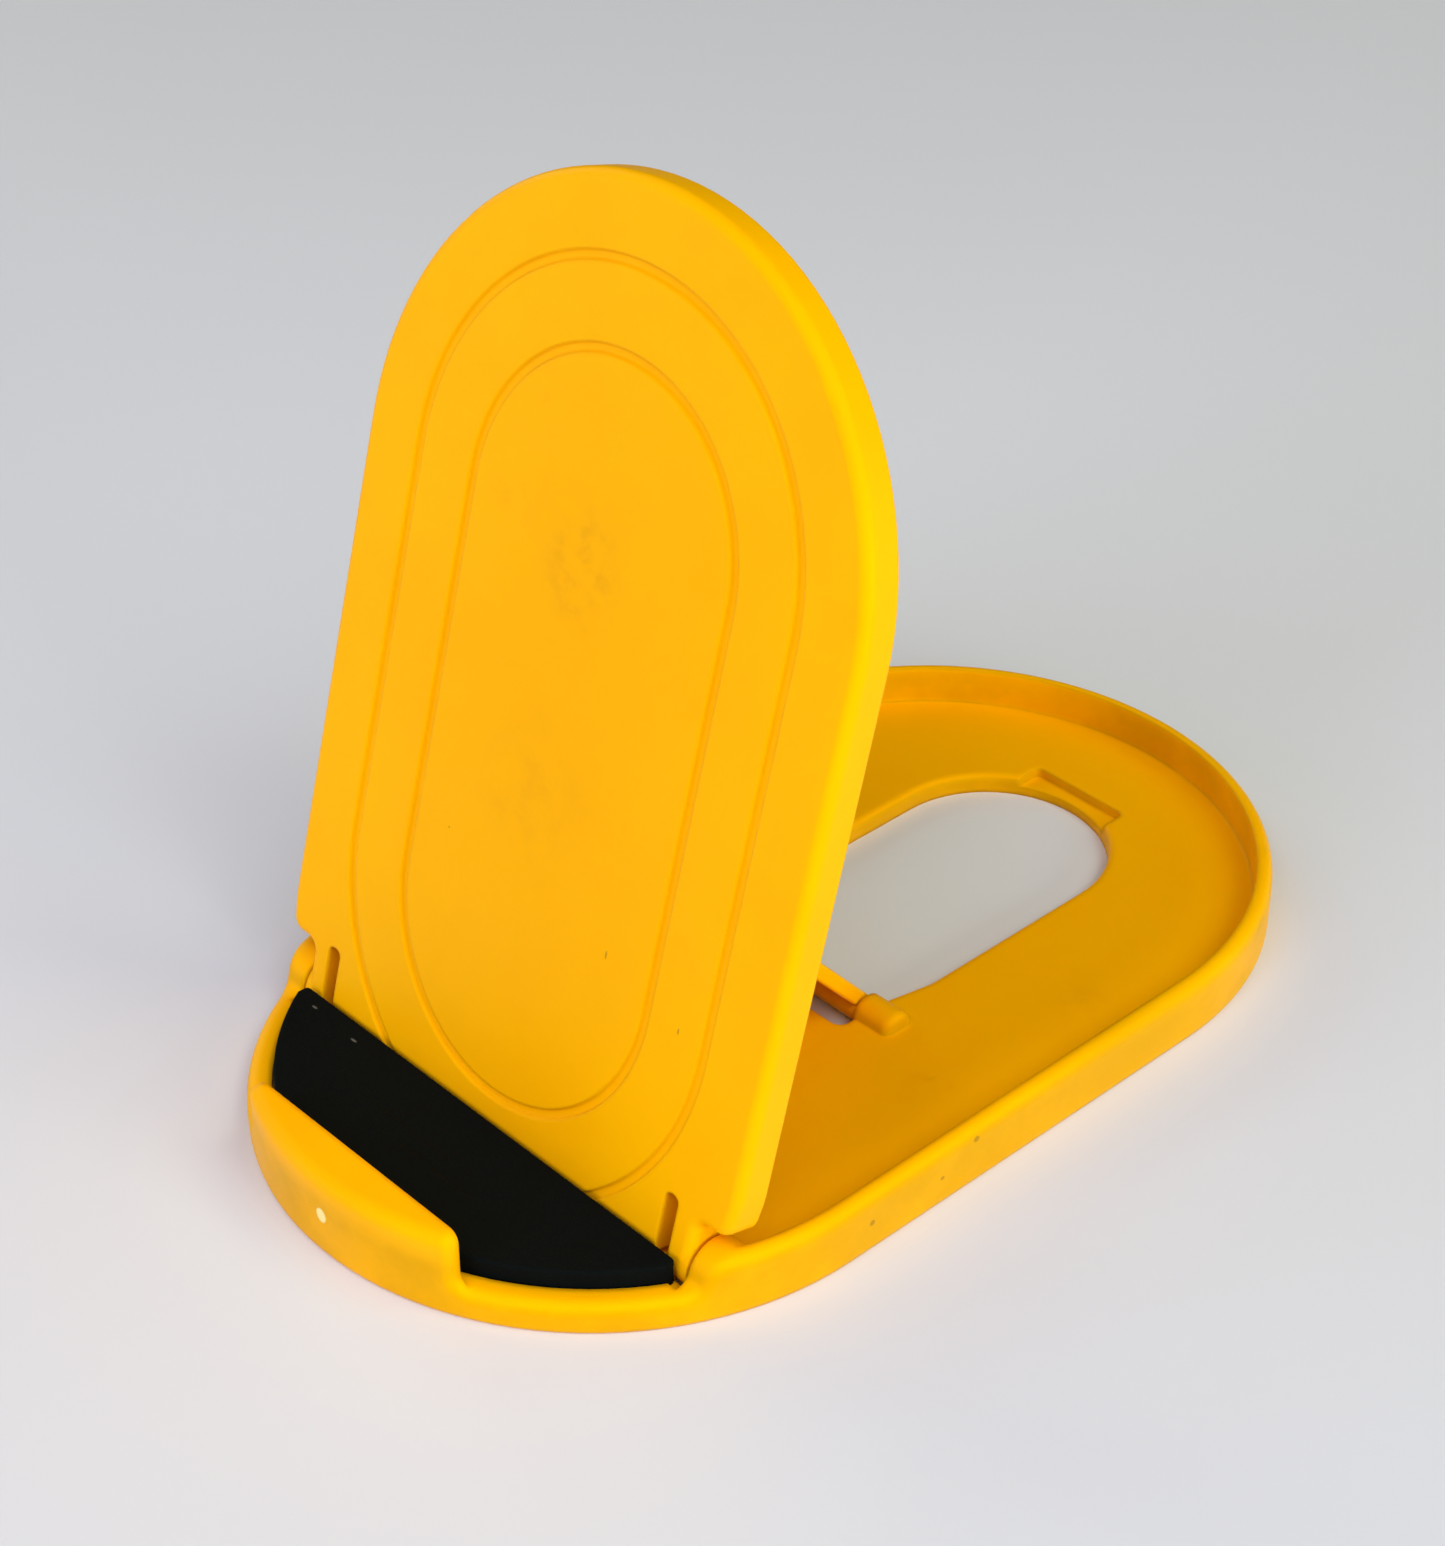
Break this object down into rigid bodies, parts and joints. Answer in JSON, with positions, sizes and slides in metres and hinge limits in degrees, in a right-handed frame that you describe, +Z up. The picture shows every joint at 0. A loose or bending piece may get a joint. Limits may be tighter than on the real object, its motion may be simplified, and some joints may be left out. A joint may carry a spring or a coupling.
{
  "type": "tablet stand",
  "caption": "Small folding stand: a round-ended tray with a lip and foam pad, a hinged back plate that folds down into it, and a hinged strut that props the plate up.",
  "frame": {"origin": "middle of the tray's underside, on the table", "axes": "+Z up, +Y away from the lip towards the tray's rear end, +X to the right of someone facing the device"},
  "size_m": [0.075, 0.127, 0.1007],
  "materials": {
    "shell_plastic": "fine satin moulding, golden yellow",
    "foam": "dull closed-cell foam, black",
    "adhesive_film": "thin milky double-sided film"
  },
  "bodies": {
    "base": {"base_tray": "shell_plastic", "front_pad": "foam", "pad_adhesive": "adhesive_film"},
    "plate": {"back_plate": "shell_plastic"},
    "strut": {"support_strut": "shell_plastic"}
  },
  "joints": [
    {"name": "plate_hinge", "type": "hinge", "parent": "base", "child": "plate", "pos_m": [0, -0.0388, 0.0038], "axis": [1, 0, 0], "range_deg": [-74.8, 0]},
    {"name": "strut_hinge", "type": "hinge", "parent": "base", "child": "strut", "pos_m": [0, 0.0019, 0.002], "axis": [1, 0, 0], "range_deg": [-131.81, 0]}
  ],
  "couplings": [
    {"joint": "strut_hinge", "follows": "plate_hinge", "ratio": 1.762}
  ]
}
